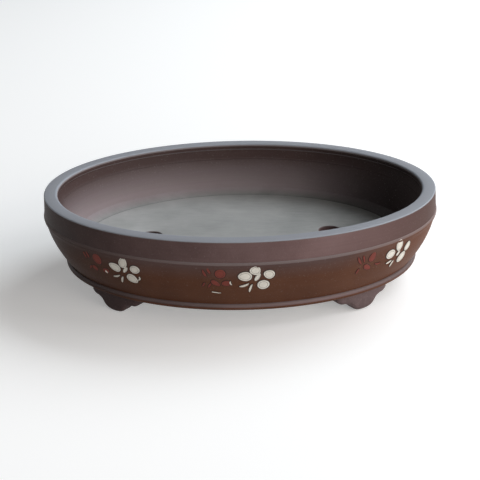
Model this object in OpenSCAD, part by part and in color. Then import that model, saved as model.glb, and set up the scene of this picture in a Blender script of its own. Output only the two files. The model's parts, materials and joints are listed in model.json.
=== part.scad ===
// Oval bonsai pot in unglazed dark clay, with slip flowers on the wall.
// X runs along the length, -Y is the front, +Z is up, and the feet stand on z = 0.
// Outer surfaces share one oval ratio and inner surfaces another, so the rim is evenly wide all round.

/* [Rim] */
// Length over the rim
rim_l = 320; // [280:5:380]
// Width over the rim
rim_w = 240; // [220:5:270]
// Width of the flat top of the rim
rim_t = 11; // [9:0.5:13]
// Height of the band, from the rim down to the middle of the upper roll
band_h = 18; // [16:1:22]
// How far the band leans out at its foot
band_lean = 0.8; // [0.4:0.2:1.6]
// Chamfer on the outer edge of the rim
rim_edge = 0.8; // [0.4:0.2:1.4]
// Chamfer on the inner edge of the rim
lip_edge = 1.6; // [0.8:0.2:2.4]
// Height of the lip inside the rim
lip_h = 5; // [3:0.5:7]
// How far the lip stands in from the wall below it
lip_in = 1.5; // [0.5:0.5:2]
// Height of the wall's tongue inside the band
tongue_h = 4; // [3:0.5:6]
// Thickness of that tongue
tongue_t = 5; // [4:0.5:6]

/* [Wall] */
// Height of the pot over all
pot_h = 76.5; // [74:0.5:86]
// How far the wall tapers in at each end
taper = 17; // [13:1:19]
// How far the wall bulges beyond a straight taper
bulge = 2.5; // [1.5:0.5:3.5]
// How far the inner wall slopes in from the lip to the floor
inner_taper = 13; // [10:1:16]

/* [Rolls] */
// Half the height of the flattened roll under the band
upper_r = 1.8; // [1.4:0.2:2.4]
// How far that roll stands out from the band
upper_out = 0.6; // [0.3:0.1:1.2]
// Radius of the half-round roll at the foot of the wall
base_r = 2.5; // [1.8:0.1:3]
// Depth of the groove that the upper roll lies in
roll_sink = 0.5; // [0.3:0.1:0.8]

/* [Floor] */
// Height of the ledge above the foot of the wall
ledge_h = 6; // [4:0.5:8]
// Thickness of the floor slab
floor_t = 10; // [8:0.5:11]
// Width of the ledge that carries the floor slab
ledge_w = 9; // [7:0.5:11]
// Diameter of each drain hole
drain_d = 18; // [12:1:24]
// Distance of each drain hole from the middle, along the length
drain_x = 75; // [50:1:95]
// How far the drain holes lie behind the middle
drain_y = 5; // [0:0.5:8]
// How much further back the right drain hole lies than that, and the left one further forward
drain_skew = 4; // [0:0.5:6]
// Radius of the hollowed coil that seals the floor to the wall
coil_r = 8; // [5:0.5:10]

/* [Feet] */
// Height of the feet
foot_h = 16; // [14:0.5:18]
// Thickness of the feet, measured at the ends of the oval
foot_t = 13; // [10:0.5:14]
// How far the feet stand in from the foot of the wall
foot_in = 1.8; // [1:0.2:4]
// Place of each foot round the oval, in degrees from the long axis
foot_turn = 46; // [38:1:56]
// Radius of the main lobe of a foot
lobe_r = 13; // [12:0.5:14]
// Radius of the smaller lobe on each side of a foot
side_r = 6.5; // [5.5:0.5:7.5]
// Distance of the smaller lobes from the middle of a foot
side_at = 18.5; // [17:0.5:21]
// How far the middle of a smaller lobe lies below the base
side_drop = 1; // [0.5:0.5:1.5]
// Height of the web between the lobes above the sole
web_rise = 1.5; // [1:0.5:3]
// Width of the flat sole of a foot
sole_w = 10; // [8:0.5:12]

/* [Flowers] */
// Thickness of the slip
slip_t = 0.8; // [0.5:0.1:1.2]
// How far the middle of the flowers lies below the upper roll
flower_drop = 10; // [10:0.5:14]
// Width of a white flower
flower_w = 26; // [22:0.5:28]
// Place of the left pair's white flower, in degrees round the oval from the middle of the front
left_at = -32; // [-40:1:-26]
// Place of the middle pair's white flower
middle_at = 6; // [0:1:12]
// Place of the right pair's white flower
right_at = 52; // [46:1:58]
// How far the left pair's red flower lies to the left of its white one, in degrees round the oval
left_gap = 10; // [9:0.5:13]
// The same in the middle pair
middle_gap = 11; // [9:0.5:13]
// The same in the right pair
right_gap = 13; // [10:0.5:14]

/* [Fits] */
// Thickness of the slip in the joints between the clay pieces
fit = 0.2; // [0.1:0.05:0.3]

/* [Hidden] */
SIDES = ["front", "back"];
PLACES = ["left", "middle", "right"];
$fn = 180;

CLAY = [0.33, 0.24, 0.21];
CLAY_TOP = [0.45, 0.40, 0.40];
WHITE_SLIP = [0.80, 0.78, 0.72];
RED_SLIP = [0.50, 0.22, 0.19];

// Ratio of width to length of the outer and the inner ovals
outer_ratio = rim_w / rim_l;
inner_ratio = (rim_w - 2 * rim_t) / (rim_l - 2 * rim_t);

// Heights
joint_z = pot_h - band_h;
lip_z = pot_h - lip_h;
ledge_z = foot_h + ledge_h;
floor_z = ledge_z + floor_t;
wall_top_z = joint_z - upper_r;
wall_foot_z = foot_h + 2 * base_r;

// Half lengths of the outer ovals
rim_x = rim_l / 2;
band_x = rim_x + band_lean;
land_x = band_x - roll_sink;
foot_x = land_x - taper;

// Half lengths of the inner ovals
lip_x = rim_x - rim_t;
under_lip_x = lip_x + lip_in;
slab_x = under_lip_x - inner_taper;
ledge_x = slab_x - ledge_w;
inner_lean = atan(inner_taper / (lip_z - floor_z));
tongue_x = under_lip_x - (lip_z - joint_z) * tan(inner_lean) + tongue_t;

// The arc of the wall: its chord, its outward direction, its radius and its centre, in length and height
arc_top = [land_x, wall_top_z];
arc_foot = [foot_x, wall_foot_z];
chord = arc_top - arc_foot;
arc_out = [chord[1], -chord[0]] / norm(chord);
arc_r = (norm(chord) * norm(chord) / 4 + bulge * bulge) / (2 * bulge);
arc_mid = (arc_top + arc_foot) / 2 + arc_out * (bulge - arc_r);

// Strokes of the left, middle and right white flowers, drawn 26 mm wide: across, up, length, width and turn
WHITE_STROKES = [
    [
        [-8.5, 0.9, 10.6, 7.6, -20], [-0.2, 6.2, 8.2, 6.8, 80], [9.3, 1.9, 8.4, 7.2, 10],
        [5.2, -7.6, 10, 8.2, -38], [0.8, -0.4, 4.4, 2.4, 54], [-8.8, -8, 7, 1.8, 22],
        [-4.4, -10.4, 7, 1.8, 70], [11.8, -5.8, 4.6, 1.6, 62]
    ],
    [
        [-9.8, 2, 10.6, 8.6, -2], [-1.6, 6.4, 7.4, 8, 62], [-0.4, -0.2, 4.4, 2.6, 60],
        [8.2, 3.3, 8.6, 7.7, -24], [4, -6.4, 9.4, 9, 22], [-10, -6.2, 8, 1.9, 23],
        [-5.4, -9.2, 8.2, 1.8, 75]
    ],
    [
        [-2.5, 6.2, 8.2, 7, 93], [7.8, 3.4, 8.6, 5.8, 66], [-10.6, 1.6, 9.4, 8.4, 5],
        [3.6, -5.6, 10.2, 8, 62], [-2.4, -0.9, 4, 2.2, 55], [-10.4, -5.9, 5.6, 1.8, 18],
        [-6.4, -8.6, 6, 1.8, 74]
    ]
];
// Strokes of the red flowers beside them, in the same order
RED_STROKES = [
    [
        [-12.2, 4.6, 5.6, 1.8, -66], [-8.8, 5.6, 5.6, 1.8, -66], [0.5, 4, 9.6, 8.4, -66],
        [-4.6, -5.8, 6, 4.2, -40], [6.6, -5.4, 6.2, 4.6, 15], [-9.6, -6.4, 5.2, 1.8, 55]
    ],
    [
        [-8.9, 4.7, 6.8, 2, -65], [-5.6, 6.4, 5.6, 1.8, -66], [2.9, 4.4, 8.2, 8, 30], [-1, -4.3, 8, 4.2, -38],
        [6.4, -4.5, 5.6, 4.8, 0], [-9.9, -5.9, 4.6, 1.8, 64], [-5.8, -6.8, 4.8, 1.8, 64]
    ],
    [
        [-8.8, 4, 8.6, 2, -62], [-5.1, 4.8, 7, 1.8, -74], [2.7, 4.6, 8.6, 6, 66],
        [-0.8, -4, 8.2, 4.4, -38], [-9, -5.8, 5, 1.8, 66], [8.8, -3.2, 6, 1.8, -6]
    ]
];

// Flattens a round solid to an oval
module oval(ratio) {
    scale([1, ratio, 1]) children();
}

// Turns a half section about the vertical axis, a quarter at a time, and flattens it to an oval
module turned(ratio) {
    for (quarter = [0 : 3])
        oval(ratio) rotate_extrude(angle = 90, start = 90 * quarter) children();
}

// The hollow of the pot, with the lip, down to the ledge and through the foot of the wall
module hollow() {
    turned(inner_ratio) polygon([
        [0, foot_h - 1], [ledge_x, foot_h - 1], [ledge_x, ledge_z], [slab_x, ledge_z],
        [slab_x, floor_z], [under_lip_x, lip_z], [lip_x, lip_z], [lip_x, pot_h - lip_edge],
        [lip_x + lip_edge + 1, pot_h + 1], [0, pot_h + 1]
    ]);
}

// The tongue at the top of the wall, or the rebate in the band when grown by the joint
module tongue(grow) {
    translate([0, 0, joint_z - 1]) turned(inner_ratio) square([tongue_x + grow, tongue_h + 1 + grow]);
}

module rim_band() {
    color(CLAY_TOP) difference() {
        turned(outer_ratio) polygon([
            [0, joint_z], [land_x, joint_z], [land_x, joint_z + upper_r], [band_x, joint_z + upper_r],
            [rim_x, pot_h - rim_edge], [rim_x - rim_edge, pot_h], [0, pot_h]
        ]);
        hollow();
        tongue(fit);
    }
}

// A roll lying against the wall at one height, rounded in small flats and standing out by reach
module roll(back_x, mid_z, radius, reach) {
    turned(outer_ratio) translate([back_x, mid_z]) intersection() {
        scale([reach / radius, 1]) circle(r = radius, $fn = 12);
        translate([0, -2 * radius]) square([2 * reach, 4 * radius]);
    }
}

module upper_roll() {
    color(CLAY_TOP) roll(land_x, joint_z, upper_r, roll_sink + upper_out);
}

module base_roll() {
    color(CLAY_TOP) roll(foot_x, foot_h + base_r, base_r, base_r);
}

// Half section of the wall's outside: a straight taper and the bulge beyond it
module wall_section() {
    polygon([
        [0, foot_h], [foot_x, foot_h], arc_foot, arc_top, [land_x, joint_z], [0, joint_z]
    ]);
    intersection() {
        translate(arc_mid) circle(r = arc_r, $fn = 360);
        polygon([
            arc_top - arc_out, arc_foot - arc_out,
            arc_foot + 3 * bulge * arc_out, arc_top + 3 * bulge * arc_out
        ]);
    }
}

module wall() {
    color(CLAY) difference() {
        union() {
            turned(outer_ratio) wall_section();
            tongue(0);
        }
        hollow();
    }
}

module floor_slab() {
    color(CLAY_TOP) difference() {
        translate([0, 0, ledge_z]) turned(inner_ratio) square([slab_x - fit, floor_t]);
        for (end = [-1, 1])
            translate([end * drain_x, drain_y + end * drain_skew, ledge_z - 1]) cylinder(d = drain_d, h = floor_t + 2);
    }
}

// The coil pressed into the seam: thin at both edges, hollowed by a circle between them
module seam_coil() {
    edge = 0.4;
    reach = coil_r + edge;
    corner = [slab_x - fit, floor_z];
    mid = corner + [reach * tan(inner_lean) - reach / cos(inner_lean), reach];
    color(CLAY) turned(inner_ratio) difference() {
        polygon([
            [mid[0], floor_z], corner,
            mid + reach * [cos(inner_lean), -sin(inner_lean)], mid
        ]);
        translate(mid) circle(r = coil_r);
    }
}

// Front outline of a foot: a main lobe with a flat sole, a smaller lobe on each side and a web between them
module foot_outline() {
    main_z = sqrt(lobe_r * lobe_r - sole_w * sole_w / 4);
    side_z = foot_h - side_drop;
    half_w = side_at + side_r;
    intersection() {
        union() {
            translate([0, main_z]) circle(r = lobe_r);
            for (side = [-1, 1])
                translate([side * side_at, side_z]) circle(r = side_r);
            polygon([
                [-side_at, foot_h], [-side_at, side_z - 0.9 * side_r], [0, web_rise],
                [side_at, side_z - 0.9 * side_r], [side_at, foot_h]
            ]);
        }
        translate([-half_w, 0]) square([2 * half_w, foot_h]);
    }
}

// One foot: its outline pushed inward along the wall's own direction and trimmed to the oval
module foot(turn) {
    out_x = foot_x - foot_in;
    place = [out_x * cos(turn), outer_ratio * out_x * sin(turn), 0];
    facing = atan2(sin(turn) / outer_ratio, cos(turn));
    color(CLAY) intersection() {
        translate(place) rotate([90, 0, facing + 90])
            translate([0, 0, -foot_t]) linear_extrude(height = 4 * foot_t) foot_outline();
        oval(outer_ratio) difference() {
            cylinder(r = out_x, h = foot_h);
            translate([0, 0, -1]) cylinder(r = out_x - foot_t, h = foot_h + 2);
        }
    }
}

// A thin skin over the wall's bulge, round one flower
module slip_skin(at) {
    oval(outer_ratio) rotate_extrude(angle = 36, start = at - 18) intersection() {
        translate(arc_mid) difference() {
            circle(r = arc_r + slip_t, $fn = 360);
            circle(r = arc_r, $fn = 360);
        }
        translate([foot_x, wall_foot_z]) square([2 * taper, wall_top_z - wall_foot_z]);
    }
}

// One flower: strokes cut from the skin by prisms that stand square to the wall
module flower(at, strokes) {
    unit = flower_w / 26;
    depth = flower_w / 2;
    rise_z = wall_top_z - flower_drop;
    reach_x = arc_mid[0] + sqrt(arc_r * arc_r - (rise_z - arc_mid[1]) * (rise_z - arc_mid[1]));
    place = [reach_x * cos(at), outer_ratio * reach_x * sin(at), rise_z];
    bow = reach_x - arc_mid[0];
    out = [bow * cos(at), bow * sin(at) / outer_ratio, rise_z - arc_mid[1]];
    tilt = 90 - asin(out[2] / norm(out));
    intersection() {
        slip_skin(at);
        translate(place) rotate([0, tilt, atan2(out[1], out[0])])
            for (s = strokes)
                translate([-s[1] * unit, s[0] * unit, -depth / 2]) rotate(90 + s[4])
                    scale([s[2] * unit / 2, s[3] * unit / 2, 1]) cylinder(r = 1, h = depth);
    }
}

module white_flower(side, spot) {
    color(WHITE_SLIP) flower(flower_at(side, spot), WHITE_STROKES[spot]);
}

module red_flower(side, spot) {
    gap = [left_gap, middle_gap, right_gap][spot];
    color(RED_SLIP) flower(flower_at(side, spot) - gap, RED_STROKES[spot]);
}

function flower_at(side, spot) = (side == "front" ? -90 : 90) + [left_at, middle_at, right_at][spot];

rim_band();
upper_roll();
wall();
base_roll();
floor_slab();
seam_coil();
foot(180 + foot_turn);  // foot_front_left
foot(-foot_turn);  // foot_front_right
foot(180 - foot_turn);  // foot_back_left
foot(foot_turn);  // foot_back_right
for (side = SIDES, spot = [0 : 2]) {
    name = str("_flower_", side, "_", PLACES[spot]);
    white_flower(side, spot);
    red_flower(side, spot);
}
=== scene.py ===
# %% [markdown]
# # An oval bonsai pot in dark clay
# The pot is built round the CAD solids, which fix every size. Each clay piece is made again here with
# the soft edges, the grain and the hand-laid slip of the real pot, and then takes the place of its solid.

# %% Load the frame
import json
import math

import bmesh
import bpy
from mathutils import Matrix, Vector


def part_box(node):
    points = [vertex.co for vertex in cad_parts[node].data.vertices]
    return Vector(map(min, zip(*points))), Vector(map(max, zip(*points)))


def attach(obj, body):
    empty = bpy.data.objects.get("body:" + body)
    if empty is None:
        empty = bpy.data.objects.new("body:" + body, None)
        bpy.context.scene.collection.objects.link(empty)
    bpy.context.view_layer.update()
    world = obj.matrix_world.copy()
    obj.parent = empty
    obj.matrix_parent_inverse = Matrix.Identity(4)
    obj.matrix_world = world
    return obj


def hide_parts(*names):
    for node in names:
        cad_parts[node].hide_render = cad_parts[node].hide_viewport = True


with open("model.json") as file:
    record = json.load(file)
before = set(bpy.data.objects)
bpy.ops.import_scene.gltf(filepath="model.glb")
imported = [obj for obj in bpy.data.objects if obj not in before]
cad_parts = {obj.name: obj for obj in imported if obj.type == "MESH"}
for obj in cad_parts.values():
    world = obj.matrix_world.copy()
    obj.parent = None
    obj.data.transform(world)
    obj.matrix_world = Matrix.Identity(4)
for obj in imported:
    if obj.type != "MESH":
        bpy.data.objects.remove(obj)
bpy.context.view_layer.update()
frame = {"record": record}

# %% [markdown]
# ## Sizes
# All lengths are in metres, as Blender has them. The big ones are read from the solids, so the pieces
# here fit them exactly. A potter would call these the template: the outer ovals share one ratio of width
# to length and the inner ovals another, so that the rim is evenly wide all round.

# %% Read the template
MM = 0.001
# Lengths that differ by less than this count as the same
NEAR = 1e-6
# Steps round each oval
TURNS = 224

band_low, band_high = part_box("rim_band")
roll_low, roll_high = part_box("upper_roll")
wall_low, wall_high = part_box("wall")
bead_low, bead_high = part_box("base_roll")
slab_low, slab_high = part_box("floor_slab")

OUTER = band_high.y / band_high.x
INNER = slab_high.y / slab_high.x

top_z = band_high.z
joint_z = band_low.z
base_z = wall_low.z
tongue_z = wall_high.z
floor_z = slab_high.z
ledge_z = slab_low.z

BAND_LEAN = 0.8 * MM
band_x = band_high.x
rim_x = band_x - BAND_LEAN
land_x = wall_high.x
roll_r = (roll_high.z - roll_low.z) / 2
bead_r = (bead_high.z - bead_low.z) / 2
foot_x = bead_high.x - bead_r

FIT = 0.2 * MM
LEDGE_W = 9 * MM
RIM_T = 11 * MM
LIP_H = 5 * MM
LIP_IN = 1.5 * MM
slab_x = slab_high.x + FIT
ledge_x = slab_x - LEDGE_W
lip_x = rim_x - RIM_T
lip_z = top_z - LIP_H
under_lip_x = lip_x + LIP_IN
print(f"ratios {OUTER:.4f} outer, {INNER:.4f} inner; rim {2 * rim_x:.3f} m long, floor at {floor_z:.4f} m")


# %% [markdown]
# ## The curve of the wall
# The outside of the wall is one arc of a circle between the upper roll and the bead at its foot. The same
# arc carries the flowers later, so its radius and middle are worked out once from the chord and the bulge.

# %% Work out the wall's arc
BULGE = 2.5 * MM
wall_top_z = joint_z - roll_r
wall_foot_z = base_z + 2 * bead_r
arc_top = Vector((land_x, wall_top_z))
arc_foot = Vector((foot_x, wall_foot_z))
chord = arc_top - arc_foot
arc_out = Vector((chord.y, -chord.x)).normalized()
arc_r = (chord.length_squared / 4 + BULGE**2) / (2 * BULGE)
arc_mid = (arc_top + arc_foot) / 2 + arc_out * (BULGE - arc_r)


def wall_x(z):
    """Half length of the wall's outside at one height."""
    return arc_mid.x + math.sqrt(arc_r**2 - (z - arc_mid.y) ** 2)


def inner_x(z):
    """Half length of the sloping inside at one height."""
    return slab_x + (under_lip_x - slab_x) * (z - floor_z) / (lip_z - floor_z)


print(f"wall arc of radius {arc_r:.4f} m, {wall_x(wall_top_z) - wall_x(wall_foot_z):.4f} m of taper")


# %% [markdown]
# ## Shader maths in plain Python
# A clay finish is a sum of small things: grain, streaks, dust, wear. In the node editor that is a web of
# Math nodes. Wrapping a socket in a small class lets the same web be written as an expression.

# %% A socket that does arithmetic
class Wire:
    """One socket of a node tree; sums and products of wires add Math nodes to the tree."""

    def __init__(self, tree, socket=None):
        self.tree = tree
        self.socket = socket

    def add(self, kind, settings=None, sockets=None, output=0):
        """A new node in the tree, with its settings and sockets filled in, as the wire of one output."""
        node = self.tree.nodes.new(kind)
        for name, value in (settings or {}).items():
            setattr(node, name, value)
        for name, value in (sockets or {}).items():
            if isinstance(value, Wire):
                self.tree.links.new(value.socket, node.inputs[name])
            else:
                node.inputs[name].default_value = value
        return Wire(self.tree, node.outputs[output])

    def math(self, operation, first, second):
        """A Math node on two wires or numbers."""
        return self.add("ShaderNodeMath", {"operation": operation}, {0: first, 1: second})

    def __add__(self, other):
        return self.math("ADD", self, other)

    def __radd__(self, other):
        return self.math("ADD", other, self)

    def __sub__(self, other):
        return self.math("SUBTRACT", self, other)

    def __mul__(self, other):
        return self.math("MULTIPLY", self, other)

    def held(self, low, high):
        """The value stretched so that low becomes 0 and high becomes 1, and held between them."""
        return self.add("ShaderNodeMapRange", {"clamp": True}, {0: self, 1: low, 2: high, 3: 0.0, 4: 1.0})

    def noise(self, scale, detail=2.0, rough=0.5):
        """Noise read at this vector."""
        sockets = {"Vector": self, "Scale": scale, "Detail": detail, "Roughness": rough}
        return self.add("ShaderNodeTexNoise", None, sockets)

    def stretched(self, x, y, z):
        """This vector with its parts scaled, to draw noise out into streaks."""
        return self.add("ShaderNodeVectorMath", {"operation": "MULTIPLY"}, {0: self, 1: (x, y, z)})

    def mix(self, first, second):
        """A colour between two others, by this factor."""
        settings = {"data_type": "RGBA", "clamp_factor": True}
        return self.add("ShaderNodeMix", settings, {0: self, 6: first, 7: second}, output=2)


def colour(red, green, blue):
    """A colour as the eye reads it on a screen, 0 to 255, made linear for the shader."""
    def linear(part):
        share = part / 255
        return share / 12.92 if share <= 0.04045 else ((share + 0.055) / 1.055) ** 2.4
    return (linear(red), linear(green), linear(blue), 1.0)


def new_material(name):
    """An empty material with its shader, and a wire to build its tree from."""
    material = bpy.data.materials.new(name)
    material.use_nodes = True
    tree = material.node_tree
    shader = tree.nodes["Principled BSDF"]
    return material, shader, Wire(tree)


print("shader wires ready")


# %% [markdown]
# ## Unglazed clay
# Dark stoneware clay is fired bare. Close up it shows fine sandy grain, faint level streaks where it was
# wiped with a wet sponge, and a greyish bloom on whatever faces the sky; that pale top is part dust and
# part painted sky light. A finish may also fade into other tones along an axis. Most fades are painted
# light and shade, which the lamps alone do not make: the band, wall and feet are painted darker towards
# the left end and the band towards the right end, the inside and the seam coil darker towards the right,
# and the floor and coil paler on the left. The wall goes brown towards its foot and its right end, as
# painted warm light. The inside goes greyer towards the floor, part silt and part painted light from the
# floor. All tones follow the place on the pot, so they hold from every side.

# %% The clay finish
# Noise scales, in cells per metre, and the streaks as scales along X, Y and Z
CLOUDS = 30
PITS = 900
GRAIN = 1900
SAND = 5200
LEVEL = (10, 10, 700)
LENGTHWISE = (70, 420, 70)
SPECKLED = (450, 450, 450)

# How ragged a fade is, how pale worn edges, the rolls' painted highlight and pits are, and how deep the
# grain is
FADE_BLUR = 0.2
PALE_WEAR_AND_HIGHLIGHT = 0.6
PIT_SHARE = 0.18
GRAIN_DEPTH = 0.2 * MM


def clay(name, tones, dust_and_sky_tint, dust_and_sky_up, fades=(), streak=LEVEL, rough=0.46, gloss=0.15):
    """Bare clay of two tones, paler on what faces up, as dust and painted sky light, and on worn edges.

    Each fade is an axis, where it starts and ends along it, and the two tones that it ends in.
    Most fades are painted light and shade.
    """
    material, shader, wire = new_material(name)
    place = wire.add("ShaderNodeTexCoord", output="Object")
    normal = wire.add("ShaderNodeNewGeometry", output="Normal")
    facing = wire.add("ShaderNodeSeparateXYZ", sockets={0: normal}, output="Z")
    wear_highlight_and_line = wire.add("ShaderNodeAttribute", {"attribute_name": "wear_highlight_and_line"}, output="Fac")

    cloud = place.noise(CLOUDS, 4, 0.6).held(0.3, 0.7)
    wiped = place.stretched(*streak).noise(1, 3, 0.6).held(0.25, 0.75)
    grain = place.noise(GRAIN, 2, 0.6).held(0.25, 0.75)
    pits = place.noise(PITS, 1, 0.4).held(0.66, 0.74)

    tone = cloud * 0.55 + wiped * 0.25 + grain * 0.2
    body = tone.mix(*tones)
    # Each fade lays a tone along an axis; most are painted light and shade
    for axis, start, end, *others in fades:
        along = wire.add("ShaderNodeSeparateXYZ", sockets={0: place}, output=axis)
        blur = along + (cloud * 0.5 + grain * 0.5 - 0.5) * FADE_BLUR * abs(end - start)
        body = blur.held(start, end).mix(body, tone.mix(*others))
    # Up-facing paleness: part dust, part painted sky light. Edge marks add wear and painted highlight.
    pale_dust_wear_and_light = facing.held(0.2, 0.9) * dust_and_sky_up * (0.85 + cloud * 0.15)
    pale_dust_wear_and_light = pale_dust_wear_and_light + wear_highlight_and_line * PALE_WEAR_AND_HIGHLIGHT * (0.75 + grain * 0.25)
    dusted_and_lit = pale_dust_wear_and_light.mix(body, dust_and_sky_tint)
    skin = (pits * PIT_SHARE).mix(dusted_and_lit, dust_and_sky_tint)
    wire.tree.links.new(skin.socket, shader.inputs["Base Color"])

    dull = rough + grain * 0.1 + cloud * 0.06 + pale_dust_wear_and_light * 0.1
    wire.tree.links.new(dull.socket, shader.inputs["Roughness"])
    shader.inputs["Specular IOR Level"].default_value = gloss

    relief = grain * 0.5 + place.noise(SAND, 1, 0.5) * 0.3 + wiped * 0.35 - pits * 0.5
    bump = wire.add("ShaderNodeBump", None, {"Strength": 0.3, "Distance": GRAIN_DEPTH, "Height": relief})
    wire.tree.links.new(bump.socket, shader.inputs["Normal"])
    return material


# Pale tints for what faces up, worn edges and pits; on what faces up they are part painted sky light
DUST_AND_SKY_SHEEN = colour(134, 138, 146)
BLOOM_AND_SKY_LIGHT = colour(128, 118, 118)
SILT = colour(152, 146, 148)

# The rim top is grey-blue: part dust, part painted sky sheen
rim_clay = clay("rim_clay", (colour(84, 76, 76), colour(96, 88, 88)), DUST_AND_SKY_SHEEN, 0.85, gloss=0.5)
band_clay = clay(
    "band_clay", (colour(97, 75, 74), colour(118, 96, 95)), BLOOM_AND_SKY_LIGHT, 0.3, gloss=0.12,
    # Painted shade: darker towards the left end and towards the right end
    fades=[
        ("X", 0.05, -0.15, colour(34, 23, 20), colour(47, 34, 31)),
        ("X", 0.07, 0.15, colour(66, 46, 42), colour(80, 59, 54)),
    ],
)
wall_clay = clay(
    "wall_clay", (colour(74, 56, 53), colour(88, 69, 66)), BLOOM_AND_SKY_LIGHT, 0.3, gloss=0.1,
    # Painted warm light: browner towards the foot and the right end; painted shade: darker towards the left
    fades=[
        ("Z", joint_z - 1 * MM, joint_z - 15 * MM, colour(76, 46, 32), colour(92, 60, 44)),
        ("X", -0.06, -0.16, colour(41, 26, 21), colour(52, 35, 28)),
        ("X", 0.07, 0.15, colour(83, 48, 33), colour(103, 66, 47)),
    ],
)
inside_clay = clay(
    "inside_clay", (colour(62, 48, 47), colour(73, 58, 56)), SILT, 0.0, gloss=0.1,
    # Greyer towards the floor: part silt, part painted light from the floor; darker to the right: painted
    # shade
    fades=[
        ("Z", top_z - 11 * MM, floor_z + 3.5 * MM, colour(138, 125, 127), colour(154, 144, 146)),
        ("X", 0.05, 0.13, colour(38, 30, 29), colour(48, 39, 38)),
    ],
)
coil_clay = clay(
    "coil_clay", (colour(92, 95, 93), colour(136, 136, 133)), SILT, 0.0, streak=LENGTHWISE, gloss=0.1,
    # Paler to the left: painted light; blends into the inside's tone upwards; darker to the right: painted
    # shade
    fades=[
        ("X", 0.09, -0.06, colour(116, 117, 116), colour(148, 147, 147)),
        ("Z", floor_z + 0.2 * MM, floor_z + 4.5 * MM, colour(128, 117, 119), colour(144, 135, 137)),
        ("X", 0.05, 0.13, colour(30, 24, 23), colour(39, 32, 31)),
    ],
)
# The floor is painted paler on the left, with its right part in painted shade
floor_clay = clay(
    "floor_clay", (colour(92, 95, 93), colour(142, 142, 139)), SILT, 0.1, streak=LENGTHWISE, gloss=0.5,
    fades=[("X", 0.09, -0.06, colour(138, 141, 139), colour(182, 182, 181))],
)
# The feet are painted darker towards the left end: painted shade
foot_clay = clay(
    "foot_clay", (colour(66, 52, 52), colour(112, 95, 95)), BLOOM_AND_SKY_LIGHT, 0.3, streak=SPECKLED, rough=0.56,
    fades=[("X", 0.05, -0.05, colour(48, 37, 37), colour(80, 65, 65))],
)
print("clay finishes made:", [m.name for m in bpy.data.materials if m.name.endswith("clay")])


# %% [markdown]
# ## Slip
# The flowers are brushed on in slip, which is clay let down with water to a cream. Each dab dries proud
# of the wall, a little thicker at its edge, and keeps the brush's streaks. A fine dark line runs round its
# foot, and a fainter one round a dip inside it.

# %% The slip finishes
BRUSH = (500, 500, 1500)
SLIP_GRAIN = 2600
SLIP_PATCH = 180


def slip(name, body, thin, line_tone):
    """Brushed slip: two tones in streaks and patches, and a dark line where a point is marked for it."""
    material, shader, wire = new_material(name)
    place = wire.add("ShaderNodeTexCoord", output="Object")
    lined = wire.add("ShaderNodeAttribute", {"attribute_name": "wear_highlight_and_line"}, output="Fac")
    brushed = place.stretched(*BRUSH).noise(1, 3, 0.6)
    grain = place.noise(SLIP_GRAIN, 2, 0.6)
    patch = place.noise(SLIP_PATCH, 3, 0.6)
    tone = (brushed.held(0.3, 0.7) * 0.45 + patch.held(0.35, 0.65) * 0.4 + grain * 0.15).mix(thin, body)
    edge = lined.held(0.35, 0.9).mix(tone, line_tone)
    wire.tree.links.new(edge.socket, shader.inputs["Base Color"])
    wire.tree.links.new((0.6 + grain * 0.15).socket, shader.inputs["Roughness"])
    shader.inputs["Specular IOR Level"].default_value = 0.25
    relief = brushed * 0.6 + grain * 0.4
    bump = wire.add("ShaderNodeBump", None, {"Strength": 0.4, "Distance": GRAIN_DEPTH, "Height": relief})
    wire.tree.links.new(bump.socket, shader.inputs["Normal"])
    return material


DARK_LINE = colour(44, 28, 24)
white_slip = slip("white_slip", colour(224, 220, 211), colour(204, 199, 189), DARK_LINE)
red_slip = slip("red_slip", colour(126, 57, 48), colour(96, 48, 40), DARK_LINE)
print("slip finishes made")


# %% [markdown]
# ## Turning ovals
# A round pot is thrown on a wheel. An oval one is pressed or cut to a template, but its section is still
# the same all the way round. Spinning the section makes a round ring, and squeezing the ring in Y makes it
# oval. The two sides of a wall are squeezed by two ratios, so that the rim keeps its width all round.

# %% Spin and squeeze
# Edges bent by more than SHARP radians can be rounded, points closer than WELD are joined, and edges bent
# by more than CREASE degrees stay crisp in the shading
SHARP = 0.6
WELD = 1e-7
CREASE = 35
ARC_STEPS = 8


def turn_section(bm, outer, inner=()):
    """Spin a closed section of (x, z) points once round, and squeeze its two sides to their ovals.

    Where the section has both sides, the inner one takes the second finish.
    """
    side = bm.verts.layers.int["inner"]
    verts = [bm.verts.new((x, 0, z)) for x, z in (*outer, *inner)]
    for v in verts[len(outer):]:
        v[side] = 1
    edges = [bm.edges.new(pair) for pair in zip(verts, verts[1:] + verts[:1])]
    bmesh.ops.spin(
        bm, geom=verts + edges, axis=(0, 0, 1), cent=(0, 0, 0),
        angle=2 * math.pi, steps=TURNS, use_merge=True,
    )
    for number, ratio in ((0, OUTER), (1, INNER)):
        bmesh.ops.scale(bm, vec=(1, ratio, 1), verts=[v for v in bm.verts if v[side] == number])
    if outer:
        for face in bm.faces:
            face.material_index = min(v[side] for v in face.verts)


def soften(bm, width, segments, chosen):
    """Round the sharp edges that are chosen, and mark the points inside the rounding as worn."""
    sharp = [e for e in bm.edges if e.calc_face_angle(0) > SHARP and chosen(e)]
    made = bmesh.ops.bevel(
        bm, geom=sharp, offset=width, affect="EDGES", segments=segments, profile=0.5, material=-1,
    )
    wear_highlight_and_line = bm.verts.layers.float["wear_highlight_and_line"]
    rounded = set(made["faces"])
    for v in made["verts"]:
        if rounded.issuperset(v.link_faces):
            v[wear_highlight_and_line] = 1.0
    return len(sharp)


def at_height(z):
    """A rule that chooses the edges lying at one height."""
    return lambda edge: all(abs(v.co.z - z) < NEAR for v in edge.verts)


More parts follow.
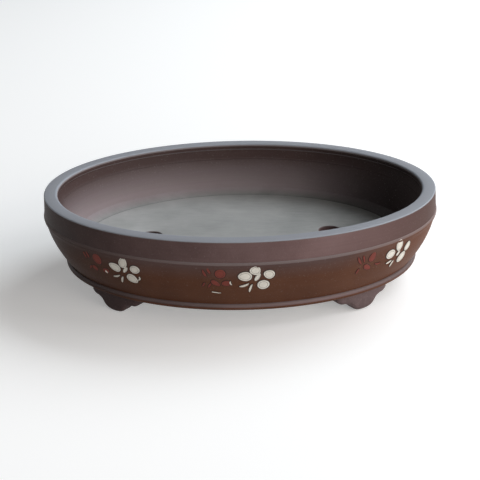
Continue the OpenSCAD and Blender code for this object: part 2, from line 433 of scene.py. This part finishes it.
def paint_wear_and_highlight(bm, rule):
    """Set how pale each point is painted, as wear and highlight, by a rule on its place."""
    wear_highlight_and_line = bm.verts.layers.float["wear_highlight_and_line"]
    for v in bm.verts:
        v[wear_highlight_and_line] = max(v[wear_highlight_and_line], rule(v.co))


def new_bmesh():
    """An empty bmesh whose points can carry wear, painted highlight and dark lines, and a side of a ring."""
    bm = bmesh.new()
    bm.verts.layers.float.new("wear_highlight_and_line")
    bm.verts.layers.int.new("inner")
    return bm


def finish_piece(bm, name, node, materials):
    """Turn a bmesh into a finished piece that stands for one CAD node."""
    bmesh.ops.remove_doubles(bm, verts=bm.verts, dist=WELD)
    bmesh.ops.recalc_face_normals(bm, faces=bm.faces)
    for face in bm.faces:
        face.smooth = True
    mesh = bpy.data.meshes.new(name)
    bm.to_mesh(mesh)
    bm.free()
    mesh.set_sharp_from_angle(angle=math.radians(CREASE))
    piece = bpy.data.objects.new(name, mesh)
    bpy.context.collection.objects.link(piece)
    for material in materials:
        mesh.materials.append(material)
    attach(piece, "root")
    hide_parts(node)
    return piece


def arc_points(middle, across, up, start, end, steps):
    """Points on an arc, from one angle to another in degrees."""
    angles = [math.radians(start + (end - start) * i / steps) for i in range(steps + 1)]
    return [(middle[0] + across * math.cos(a), middle[1] + up * math.sin(a)) for a in angles]


print("ring tools ready")

# %% [markdown]
# ## The rim band
# The heavy band is what a hand grips to lift the pot. Its top is flat and its edges are rubbed soft with a
# wet finger. Inside, a small lip overhangs the wall. The band sits over a tongue on the wall below.

# %% Rim band
TONGUE_T = 5 * MM
RIM_OUT_ROUND = 0.9 * MM
RIM_IN_ROUND = 2.2 * MM
LIP_ROUND = 0.7 * MM
RIM_TOP = 1.2 * MM
tongue_x = inner_x(joint_z) + TONGUE_T
rebate_z = tongue_z + FIT

bm = new_bmesh()
turn_section(
    bm,
    [(land_x, joint_z), (land_x, joint_z + roll_r), (band_x, joint_z + roll_r), (rim_x, top_z)],
    [(lip_x, top_z), (lip_x, lip_z), (under_lip_x, lip_z),
     (inner_x(rebate_z), rebate_z), (tongue_x + FIT, rebate_z), (tongue_x + FIT, joint_z)],
)
inner = bm.verts.layers.int["inner"]
on_top = at_height(top_z)
rounded = soften(bm, RIM_OUT_ROUND, 4, lambda e: on_top(e) and not any(v[inner] for v in e.verts))
rounded += soften(bm, RIM_IN_ROUND, 5, lambda e: on_top(e) and all(v[inner] for v in e.verts))
rounded += soften(bm, LIP_ROUND, 3, at_height(lip_z))
# The top of the band takes the rim finish, whose grey-blue is part dust and part painted sky sheen
for face in bm.faces:
    if face.calc_center_median().z > top_z - RIM_TOP:
        face.material_index = 2
rim_band = finish_piece(bm, "rim_band_clay", "rim_band", [band_clay, inside_clay, rim_clay])
print("rim band:", rounded, "edges rounded,", len(rim_band.data.polygons), "faces")

# %% [markdown]
# ## The wall
# The wall is one pressed sheet, curved on the outside and sloping on the inside. It has a ledge for the
# floor at its foot and a tongue for the band at its top.

# %% Wall
WALL_STEPS = 20
FOOT_EDGE_ROUND = 0.8 * MM
bm = new_bmesh()
arc_angles = [math.degrees(math.atan2(p.y - arc_mid.y, p.x - arc_mid.x)) for p in (arc_top, arc_foot)]
curve = arc_points(arc_mid, arc_r, arc_r, *arc_angles, WALL_STEPS)
turn_section(
    bm,
    [(land_x, joint_z), *curve, (foot_x, base_z)],
    [(ledge_x, base_z), (ledge_x, ledge_z), (slab_x, ledge_z), (slab_x, floor_z),
     (inner_x(tongue_z), tongue_z), (tongue_x, tongue_z), (tongue_x, joint_z)],
)
soften(bm, FOOT_EDGE_ROUND, 2, at_height(base_z))
wall = finish_piece(bm, "wall_clay_sheet", "wall", [wall_clay, inside_clay])
print("wall:", len(wall.data.polygons), "faces")

# %% [markdown]
# ## The two rolls
# A flattened strip hides the joint under the band and eases into the wall below it. A fuller half-round
# bead runs round the foot of the wall. Both stand proud, so they are rubbed pale and catch the light. Their
# paleness is part wear and part painted highlight, growing from the left end towards the right.

# %% Rolls
EASE = 3.2 * MM
SUNK = 0.2 * MM
BEAD_STEPS = 16
# The strip is pale down to this far below its ridge, and the bead from this far above its middle
STRIP_PALE = 0.4 * MM
BEAD_PALE = 0.6 * MM
BEAD_RUB_AND_HIGHLIGHT = 0.5
# The paleness, part wear and part painted highlight, grows from the left end over this run in X
PALE_FROM = -0.14
PALE_RUN = 0.12
PALE_LEAST = 0.3


def rub_and_highlight(x):
    """How pale the rolls are painted, as wear and highlight: fully from the middle to the right, less
    towards the left end.
    """
    return min(1.0, max(PALE_LEAST, (x - PALE_FROM) / PALE_RUN))


bm = new_bmesh()
ease_z = wall_top_z - EASE
proud = roll_high.x - land_x
shoulder = arc_points((land_x, joint_z), proud, roll_r, 90, 0, ARC_STEPS)
below = []
for i in range(1, ARC_STEPS + 1):
    share = i / ARC_STEPS
    z = joint_z + (ease_z - joint_z) * share
    surface = wall_x(z) if z < wall_top_z else land_x
    below.append((surface + proud * (1 - share) ** 2 * (1 + 2 * share), z))
back_x = land_x - SUNK
turn_section(bm, [
    *shoulder, *below, (wall_x(ease_z) - SUNK, ease_z), (back_x, wall_top_z), (back_x, joint_z + roll_r),
])
paint_wear_and_highlight(bm, lambda co: rub_and_highlight(co.x) if co.z > joint_z - STRIP_PALE else 0.0)
upper_roll = finish_piece(bm, "upper_roll_strip", "upper_roll", [wall_clay])

bm = new_bmesh()
bead_z = base_z + bead_r
turn_section(bm, arc_points((foot_x, bead_z), bead_r, bead_r, 90, -90, BEAD_STEPS))
paint_wear_and_highlight(bm, lambda co: BEAD_RUB_AND_HIGHLIGHT * rub_and_highlight(co.x) if co.z > bead_z + BEAD_PALE else 0.0)
for face in bm.faces:
    face.material_index = int(face.calc_center_median().z < bead_z)
base_roll = finish_piece(bm, "base_roll_bead", "base_roll", [band_clay, wall_clay])
print("rolls:", len(upper_roll.data.polygons), len(base_roll.data.polygons), "faces")

# %% [markdown]
# ## The floor
# The floor is a slab cut to the oval, with two drain holes punched through it while the clay was soft. The
# seam where it meets the wall is filled with a coil and smoothed with a thumb.

# %% Floor slab and seam coil
DRAIN_R = 9 * MM
DRAIN_STEPS = 48
DRAIN_NEAR = 0.05 * MM
DRAIN_ROUND = 1.2 * MM
drains = [mount["pos_m"] for mount in frame["record"]["mounts"] if mount["name"].startswith("drain")]


def slab_with_holes():
    """An oval slab with round holes: circles filled as one holed plate, which is then pulled up."""
    bm = new_bmesh()
    plate = bmesh.ops.create_circle(bm, cap_ends=False, segments=TURNS, radius=slab_high.x)
    bmesh.ops.scale(bm, vec=(1, INNER, 1), verts=plate["verts"])
    for x, y, _ in drains:
        hole = bmesh.ops.create_circle(bm, cap_ends=False, segments=DRAIN_STEPS, radius=DRAIN_R)
        bmesh.ops.translate(bm, vec=(x, y, 0), verts=hole["verts"])
    bmesh.ops.translate(bm, vec=(0, 0, ledge_z), verts=bm.verts)
    bmesh.ops.triangle_fill(bm, use_beauty=True, edges=bm.edges, normal=(0, 0, 1))
    lifted = bmesh.ops.extrude_face_region(bm, geom=bm.faces[:])
    top = [v for v in lifted["geom"] if isinstance(v, bmesh.types.BMVert)]
    bmesh.ops.translate(bm, vec=(0, 0, floor_z - ledge_z), verts=top)
    return bm


def by_hole(point):
    """Whether a point lies on the wall of a drain hole."""
    return any(abs(math.hypot(point.x - x, point.y - y) - DRAIN_R) < DRAIN_NEAR for x, y, _ in drains)


bm = slab_with_holes()
for face in bm.faces:
    heights = {v.co.z > floor_z - NEAR for v in face.verts}
    if len(heights) == 2 and all(by_hole(v.co) for v in face.verts):
        face.material_index = 1
on_floor = at_height(floor_z)
soften(bm, DRAIN_ROUND, 3, lambda e: on_floor(e) and all(by_hole(v.co) for v in e.verts))
floor_slab = finish_piece(bm, "floor_slab_clay", "floor_slab", [floor_clay, band_clay])

COIL_R = 8 * MM
COIL_EDGE = 0.4 * MM
THUMB_R = 4 * MM
THUMB_IN = 0.4
THUMB_UP = 0.03 * MM
bm = new_bmesh()
lean = math.atan2(under_lip_x - slab_x, lip_z - floor_z)
reach = COIL_R + COIL_EDGE
corner_x = slab_x - FIT
mid = (corner_x + reach * math.tan(lean) - reach / math.cos(lean), floor_z + reach)
wall_touch = (mid[0] + reach * math.cos(lean), mid[1] - reach * math.sin(lean))
slant = math.atan2(wall_touch[1] - floor_z, wall_touch[0] - mid[0])
thumb = (mid[0] - THUMB_R * math.tan(slant / 2) * THUMB_IN, floor_z + THUMB_R + THUMB_UP)
hollow = arc_points(thumb, THUMB_R, THUMB_R, -90, math.degrees(slant) - 90, ARC_STEPS)
turn_section(bm, (), [(hollow[0][0], floor_z), *hollow, wall_touch, (corner_x, floor_z)])
seam_coil = finish_piece(bm, "seam_coil_fillet", "seam_coil", [coil_clay])
print("floor:", len(floor_slab.data.polygons), "faces; coil:", len(seam_coil.data.polygons))

# %% [markdown]
# ## The feet
# Each foot is a cut bracket with a main lobe and two smaller ones, pressed on under the base at the corners
# of the oval and rounded with a damp cloth. A grid is given its thickness by an extrusion and shaped to the
# outline, whose corners are softened. It is then laid along the oval, with its front and back edges drawn
# in to round them.

# %% Feet
foot_h = base_z
FOOT_T = 13 * MM
FOOT_IN = 1.8 * MM
FOOT_TURN = 46
LOBE_R = 13 * MM
SIDE_R = 6.5 * MM
SIDE_AT = 18.5 * MM
SIDE_DROP = 1 * MM
WEB_RISE = 1.5 * MM
WEB_END = 0.9
WEB_BLEND = 2.4 * MM
BLEND_END = 4 * MM
SOLE_W = 10 * MM
SOLE_BLEND = 3 * MM
FOOT_ROUND = 4 * MM
HEEL_ROUND = 1.6 * MM
END_H = 0.5 * MM
# The grid stops just short of the lobes' ends, where it is rounded faster, and its rows crowd at the outline
FOOT_COLUMNS = 72
FOOT_ROWS = 18
END_TRIM = 0.999
END_ROUND = 1.2
ROW_CROWD = 1.5
half_w = SIDE_AT + SIDE_R
side_z = foot_h - SIDE_DROP
main_z = math.sqrt(LOBE_R**2 - SOLE_W**2 / 4)
sole_z = (SOLE_BLEND - (LOBE_R - main_z)) ** 2 / (4 * SOLE_BLEND)


def circle_under(u, radius, z):
    """Lowest height of a circle at one distance from its middle, or the base where it does not reach."""
    return z - math.sqrt(radius**2 - u**2) if abs(u) < radius else foot_h


def soft_min(first, second, blend):
    """The lower of two heights, with the corner where they cross rounded off."""
    overlap = max(blend - abs(first - second), 0.0)
    return min(first, second) - (overlap**2 / (4 * blend) if blend else 0.0)


def foot_low(u):
    """Height of the foot's outline at one distance from its middle."""
    u = abs(u)
    web_end_z = side_z - WEB_END * SIDE_R
    web = WEB_RISE + (web_end_z - WEB_RISE) * u / SIDE_AT if u < SIDE_AT else foot_h
    blend = WEB_BLEND * min(1.0, max(0.0, (SIDE_AT - u) / BLEND_END))
    low = soft_min(circle_under(u, LOBE_R, main_z), web, blend)
    low = soft_min(low, circle_under(u - SIDE_AT, SIDE_R, side_z), blend)
    low = -soft_min(-low, 0.0, SOLE_BLEND) - sole_z
    return max(0.0, min(low, foot_h - END_H))


def drawn_in(depth, radius):
    """How far a rounded edge is drawn in at one depth below its outline."""
    return radius - math.sqrt(radius**2 - (radius - depth) ** 2) if depth < radius else 0.0


def make_foot(name, turn):
    """One foot, laid along the oval at one turn from the long axis, in degrees."""
    angle = math.radians(turn)
    out_x = foot_x - FOOT_IN
    middle = Vector((out_x * math.cos(angle), OUTER * out_x * math.sin(angle), 0))
    outward = Vector((math.cos(angle), math.sin(angle) / OUTER, 0)).normalized()
    along = Vector((-outward.y, outward.x, 0))
    bm = new_bmesh()
    bmesh.ops.create_grid(bm, x_segments=FOOT_COLUMNS, y_segments=FOOT_ROWS, size=1)
    front = set(bm.verts)
    bmesh.ops.extrude_face_region(bm, geom=bm.faces[:])
    for v in bm.verts:
        u = v.co.x * half_w * END_TRIM
        share = ((v.co.y + 1) / 2) ** ROW_CROWD
        low = foot_low(u)
        z = low + (foot_h - low) * share
        edge = min(z - low, (half_w - abs(u)) * END_ROUND)
        if v in front:
            ring = out_x - drawn_in(edge, FOOT_ROUND)
        else:
            ring = out_x - FOOT_T + drawn_in(edge, HEEL_ROUND)
        # How far out of its flat plane the point has to slide to lie on its oval
        flat = middle + along * u
        a = outward.x**2 + (outward.y / OUTER) ** 2
        b = flat.x * outward.x + flat.y * outward.y / OUTER**2
        c = flat.x**2 + (flat.y / OUTER) ** 2 - ring**2
        step = (-b + math.sqrt(b * b - a * c)) / a
        v.co = flat + outward * step + Vector((0, 0, z))
    return finish_piece(bm, name + "_bracket", name, [foot_clay])


foot_turns = {
    "foot_front_left": 180 + FOOT_TURN, "foot_front_right": -FOOT_TURN,
    "foot_back_left": 180 - FOOT_TURN, "foot_back_right": FOOT_TURN,
}
feet = [make_foot(name, turn) for name, turn in foot_turns.items()]
print("feet:", [f.name for f in feet])

# %% [markdown]
# ## The flowers
# Three pairs of flowers are brushed on the front wall, white beside red, and no two are quite alike. Each
# dab starts as a filled circle, is pulled to a petal, a heart or a stem, is raised in steps, and is then
# pressed on the wall's curve. A few touches of white fall on the red. The pairs on the back repeat those
# on the front.

# %% Strokes of the flowers
FLOWER_DROP = 10 * MM
flower_z = wall_top_z - FLOWER_DROP

# Thickness of the white and the red slip, lift of the touches, width of the dark line and depth of the
# dab's underside in the wall, in millimetres
WHITE_T = 0.8
RED_T = 0.45
TOUCH_LIFT = 0.2
DARK_LINE_W = 0.45
ROOT = -0.3

# Each stroke: across, up, length, width in millimetres, turn in degrees, taper, bend and notch
WHITE = {
    "left": [
        (-0.2, 6.9, 10.6, 7.0, 74, 0.25, 0, 0), (-8.5, 0.9, 10.6, 7.6, -20, -0.2, 0, 0),
        (9.3, 1.9, 8.4, 7.4, 10, 0.1, 0, 0), (5.2, -7.6, 10.0, 8.2, -38, 0.15, 0, 0),
        (0.9, 0.3, 6.8, 2.8, 54, 0, 0, 0), (-8.8, -8.0, 7.0, 1.7, 22, 0, 0.3, 0),
        (-4.4, -10.4, 7.0, 1.7, 70, 0, -0.2, 0), (11.2, -6.6, 4.6, 1.3, 62, 0, 0.8, 0),
    ],
    "middle": [
        (-9.5, 2.0, 10.6, 8.6, -2, -0.12, 0, 0), (-1.7, 7.5, 8.6, 8.2, 62, 0.3, 0, 0.35),
        (-0.2, 1.3, 7.6, 3.4, 60, 0.1, 0, 0), (8.2, 3.3, 8.6, 7.7, -24, -0.15, 0, 0),
        (4.0, -6.2, 9.4, 9.0, 22, 0.05, 0, 0), (-10.0, -6.2, 8.0, 1.9, 23, 0, 0.4, 0),
        (-5.4, -9.2, 8.2, 1.8, 75, 0, -0.2, 0),
    ],
    "right": [
        (-2.5, 7.6, 10.6, 7.2, 93, -0.1, 0, 0), (7.8, 3.4, 8.6, 5.8, 66, 0.1, 0, 0),
        (-10.6, 1.6, 9.4, 8.4, 5, 0, 0, 0), (3.6, -5.4, 10.6, 8.0, 62, 0.15, 0, 0),
        (-2.1, 0.2, 5.0, 2.6, 55, 0, 0, 0), (-10.4, -5.9, 5.6, 1.6, 18, 0, 0.2, 0),
        (-6.4, -8.6, 6.0, 1.6, 74, 0, 0, 0),
    ],
}
RED = {
    "left": [
        (-12.2, 4.6, 5.6, 1.6, -66, 0, 0, 0), (-8.8, 5.8, 5.6, 1.6, -66, 0, 0, 0),
        (0.5, 4.0, 9.6, 8.4, -66, 0.1, 0, 0), (-4.6, -5.8, 6.0, 4.2, -40, 0.1, 0, 0),
        (6.6, -5.4, 6.2, 4.6, 15, 0, 0, 0), (-9.6, -6.4, 5.2, 1.5, 55, 0, 0, 0),
    ],
    "middle": [
        (-8.9, 4.7, 6.8, 2.0, -65, 0, 0.2, 0), (-5.6, 7.0, 5.6, 1.8, -66, 0, 0.2, 0),
        (2.9, 4.4, 8.2, 8.0, 30, 0.05, 0, 0), (-1.0, -4.3, 8.0, 4.2, -38, 0.15, 0, 0),
        (7.0, -4.4, 7.0, 5.2, 4, 0, 0, 0), (-9.9, -5.9, 4.6, 1.5, 64, 0, 0, 0),
        (-5.6, -6.6, 4.8, 1.5, 64, 0, 0, 0),
    ],
    "right": [
        (-8.8, 4.0, 8.6, 2.0, -62, 0, 0.2, 0), (-5.1, 4.8, 7.0, 1.8, -74, 0, 0, 0),
        (2.7, 4.6, 8.6, 6.0, 66, 0.15, 0, 0), (-0.8, -4.0, 8.2, 4.4, -38, 0.1, 0, 0),
        (-9.0, -5.8, 5.0, 1.7, 66, 0, 0, 0), (8.8, -3.2, 6.0, 1.6, -6, 0, 0.6, 0),
    ],
}
TOUCHES = {
    "left": [(6.8, -6.2, 2.8, 1.5, -68, 0, 0.3, 0)],
    "middle": [(10.2, -4.0, 4.0, 1.2, -78, 0, 0.6, 0), (-1.0, -13.6, 7.2, 0.8, -10, 0.3, 0.3, 0)],
    "right": [],
}

# Each pair: the white flower's place in degrees from the middle of the side, and the red one's gap from it
PLACES = {"left": (-32, 10), "middle": (6, 11), "right": (52, 13)}
print("strokes:", sum(len(s) for s in WHITE.values()), "white,", sum(len(s) for s in RED.values()), "red")


# %% Lay the strokes on the wall
DAB_STEPS = 40
NOTCH_W = 0.35
THINNEST = 0.1
PRESS_ROUNDS = 8
SLIPS = {"white_slip": white_slip, "red_slip": red_slip}


def wall_frame(at):
    """The point on the wall where a flower is centred, and the across, up and outward directions there."""
    angle = math.radians(at)
    out_x = wall_x(flower_z)
    point = Vector((out_x * math.cos(angle), OUTER * out_x * math.sin(angle), flower_z))
    bow = out_x - arc_mid.x
    outward = Vector((bow * math.cos(angle), bow * math.sin(angle) / OUTER, flower_z - arc_mid.y))
    outward.normalize()
    across = Vector((0, 0, 1)).cross(outward).normalized()
    return point, across, outward.cross(across), outward


def off_wall(point):
    """Distance of a point outside the wall's arc, measured in the squeezed section."""
    ring = math.hypot(point.x, point.y / OUTER)
    return math.hypot(ring - arc_mid.x, point.z - arc_mid.y) - arc_r


def press_on(flat, outward, lift):
    """Slide a point along the outward direction until it lies that far off the wall."""
    for _ in range(PRESS_ROUNDS):
        gap = off_wall(flat) - lift
        slope = (off_wall(flat + outward * NEAR) - off_wall(flat - outward * NEAR)) / (2 * NEAR)
        flat = flat - outward * (gap / slope)
    return flat


def dab(bm, stroke, height):
    """One closed dab of slip, flat, in millimetres: a pulled circle raised in steps from a dark-lined edge.
    """
    across, up, length, width, turn, taper, bend, notch = stroke
    wear_highlight_and_line = bm.verts.layers.float["wear_highlight_and_line"]
    round_at = bm.verts.layers.float["round_at"]
    laid = Matrix.Translation((across, up, 0)) @ Matrix.Rotation(math.radians(turn), 4, "Z")

    def pull(verts, inset, z, edge):
        """Lay a ring of points along the stroke's outline, drawn in by the inset."""
        for v in verts:
            x, y = math.cos(v[round_at]), math.sin(v[round_at])
            pinch = notch * math.exp(-((y / NOTCH_W) ** 2)) if x > 0 else 0
            along = (x - pinch) * max(length / 2 - inset, THINNEST * length)
            aside = y * (1 - taper * x) * max(width / 2 - inset, THINNEST * width)
            aside += bend * (x * x - 0.5) * width
            v.co = laid @ Vector((along, aside, z))
            v[wear_highlight_and_line] = edge

    ring = bmesh.ops.create_circle(bm, cap_ends=True, segments=DAB_STEPS, radius=1)["verts"]
    for v in ring:
        v[round_at] = math.atan2(v.co.y, v.co.x)
    top = ring[0].link_faces[0]
    pull(ring, -DARK_LINE_W, ROOT, 1.0)
    half = width / 2
    # Each step: its inset from the outline, its height and how dark its line is
    steps = (
        (-DARK_LINE_W, 0.04, 1.0),
        (0.0, 0.05, 1.0),
        (0.04 * half, 0.6 * height, 0.6),
        (0.12 * half, height, 0.0),
        (0.24 * half, 0.95 * height, 0.1),
        (0.29 * half, 0.8 * height, 0.62),
        (0.36 * half, 0.8 * height, 0.62),
        (0.42 * half, 0.92 * height, 0.1),
        (0.66 * half, 0.88 * height, 0.0),
    )
    for inset, z, edge in steps:
        raised = bmesh.ops.extrude_face_region(bm, geom=[top])["geom"]
        if inset != -DARK_LINE_W:
            bm.faces.remove(top)
        top = next(f for f in raised if isinstance(f, bmesh.types.BMFace))
        pull(top.verts, inset, z, edge)
    bmesh.ops.poke(bm, faces=[top])


def make_flower(node, strokes, at, slot, height, touches=()):
    """A flower's dabs, pressed on the wall; the touches are white dabs on top of it."""
    point, across, upward, outward = wall_frame(at)
    bm = new_bmesh()
    bm.verts.layers.float.new("round_at")
    for stroke in strokes:
        dab(bm, stroke, height)
    body = set(bm.faces)
    for stroke in touches:
        dab(bm, stroke, height + TOUCH_LIFT)
    for face in bm.faces:
        face.material_index = 0 if face in body else 1
    for v in bm.verts:
        flat = point + (across * v.co.x + upward * v.co.y) * MM
        v.co = press_on(flat, outward, v.co.z * MM)
    finishes = [SLIPS[slot], white_slip] if touches else [SLIPS[slot]]
    return finish_piece(bm, node + "_dabs", node, finishes)


flowers = []
for side, middle in (("front", -90), ("back", 90)):
    for place, (at, gap) in PLACES.items():
        name = f"flower_{side}_{place}"
        flowers.append(make_flower("white_" + name, WHITE[place], middle + at, "white_slip", WHITE_T))
        red_at = middle + at - gap
        flowers.append(make_flower("red_" + name, RED[place], red_at, "red_slip", RED_T, TOUCHES[place]))
print("flowers:", len(flowers), "pieces,", sum(len(f.data.polygons) for f in flowers), "faces")

# %% [markdown]
# ## Floor and light
# A pale floor and a white background leave the pot alone in the picture. Four broad soft lamps stand in for
# windows: a cool sky behind on the right, one at the right, and two lower and warmer ones towards the
# front. The left side and the right end of the inside fall into shade.

# %% Stage
LAMP_SIZE = 1.85
LAMP_AWAY = 3
LAMP_AIM = Vector((0, 0, 0.04))
GROUND_HALF = 8
GLOW = (0.3, 0.3, 0.3, 1)
DIM = (0.02, 0.02, 0.02, 1)
BLACK = (0, 0, 0, 1)
WHITE_SKY = (1, 1, 1, 1)


def soft_light(name, turn, rise, power, tint):
    """A broad square lamp, turned from the front and raised, both in degrees, and aimed at the pot."""
    turn = math.radians(turn)
    rise = math.radians(rise)
    away = Vector((math.cos(rise) * math.sin(turn), -math.cos(rise) * math.cos(turn), math.sin(rise)))
    data = bpy.data.lights.new(name, "AREA")
    data.shape = "SQUARE"
    data.size = LAMP_SIZE
    data.energy = power
    data.color = tint
    lamp = bpy.data.objects.new(name, data)
    lamp.location = away * LAMP_AWAY + LAMP_AIM
    lamp.rotation_euler = away.to_track_quat("Z", "Y").to_euler()
    bpy.context.collection.objects.link(lamp)


def seen_rays(wire):
    """1 for the rays that look at a thing, straight, mirrored or through glass, and 0 for the rest."""
    path = wire.add("ShaderNodeLightPath").socket.node
    straight, mirrored, through = (
        Wire(wire.tree, path.outputs[f"Is {kind} Ray"]) for kind in ("Camera", "Glossy", "Transmission")
    )
    return (straight + mirrored + through).held(0, 1)


bm = bmesh.new()
bmesh.ops.create_grid(bm, x_segments=1, y_segments=1, size=GROUND_HALF)
ground_mesh = bpy.data.meshes.new("ground")
bm.to_mesh(ground_mesh)
bm.free()
ground = bpy.data.objects.new("ground", ground_mesh)
bpy.context.collection.objects.link(ground)

ground_material, ground_shader, wire = new_material("ground_paper")
ground_shader.inputs["Base Color"].default_value = (0.88, 0.87, 0.86, 1)
ground_shader.inputs["Roughness"].default_value = 0.95
ground_shader.inputs["Specular IOR Level"].default_value = 0.0
ground_shader.inputs["Emission Strength"].default_value = 1.0
glow = seen_rays(wire).mix(BLACK, GLOW)
wire.tree.links.new(glow.socket, ground_shader.inputs["Emission Color"])
ground_mesh.materials.append(ground_material)

world = bpy.data.worlds.new("studio")
bpy.context.scene.world = world
world.use_nodes = True
wire = Wire(world.node_tree)
backdrop = world.node_tree.nodes["Background"]
sky = seen_rays(wire).mix(DIM, WHITE_SKY)
wire.tree.links.new(sky.socket, backdrop.inputs["Color"])

soft_light("sky_behind", 135, 42, 62, (0.88, 0.95, 1.0))
soft_light("window_right", 90, 34, 42, (0.97, 0.98, 1.0))
soft_light("window_front", 50, 17, 42, (1.0, 0.96, 0.92))
soft_light("low_front", 20, 12, 22, (1.0, 0.95, 0.90))

# %% [markdown]
# ## The camera
# The camera stands a little under a metre away, about twenty degrees above the rim. It is placed by turning
# a ray from the middle of the rim, so that its distance and height can be read off.

# %% Camera
FRAME_PX = 480
DISTANCE = 0.9
LENS_PX = 1094.2
ELEVATION = math.radians(20.03)
AZIMUTH = math.radians(2.13)
ROLL = math.radians(-1.45)
RIM_AT = (239.0, 184.9)

backward = Vector((
    math.cos(ELEVATION) * math.sin(AZIMUTH), -math.cos(ELEVATION) * math.cos(AZIMUTH), math.sin(ELEVATION),
))
right = Vector((math.cos(AZIMUTH), math.sin(AZIMUTH), 0))
upright = backward.cross(right)
cam_right = math.cos(ROLL) * right + math.sin(ROLL) * upright
cam_up = math.cos(ROLL) * upright - math.sin(ROLL) * right

lens = bpy.data.cameras.new("camera")
lens.sensor_width = 36
lens.lens = lens.sensor_width * LENS_PX / FRAME_PX
lens.shift_x = (FRAME_PX / 2 - RIM_AT[0]) / FRAME_PX
lens.shift_y = (RIM_AT[1] - FRAME_PX / 2) / FRAME_PX
camera = bpy.data.objects.new("camera", lens)
turn = Matrix((cam_right, cam_up, backward)).transposed().to_4x4()
camera.matrix_world = Matrix.Translation(Vector((0, 0, top_z)) + backward * DISTANCE) @ turn
bpy.context.collection.objects.link(camera)
bpy.context.scene.camera = camera
bpy.context.scene.view_settings.view_transform = "Standard"
print(f"camera lens {lens.lens:.2f} mm at {tuple(round(c, 3) for c in camera.location)}")
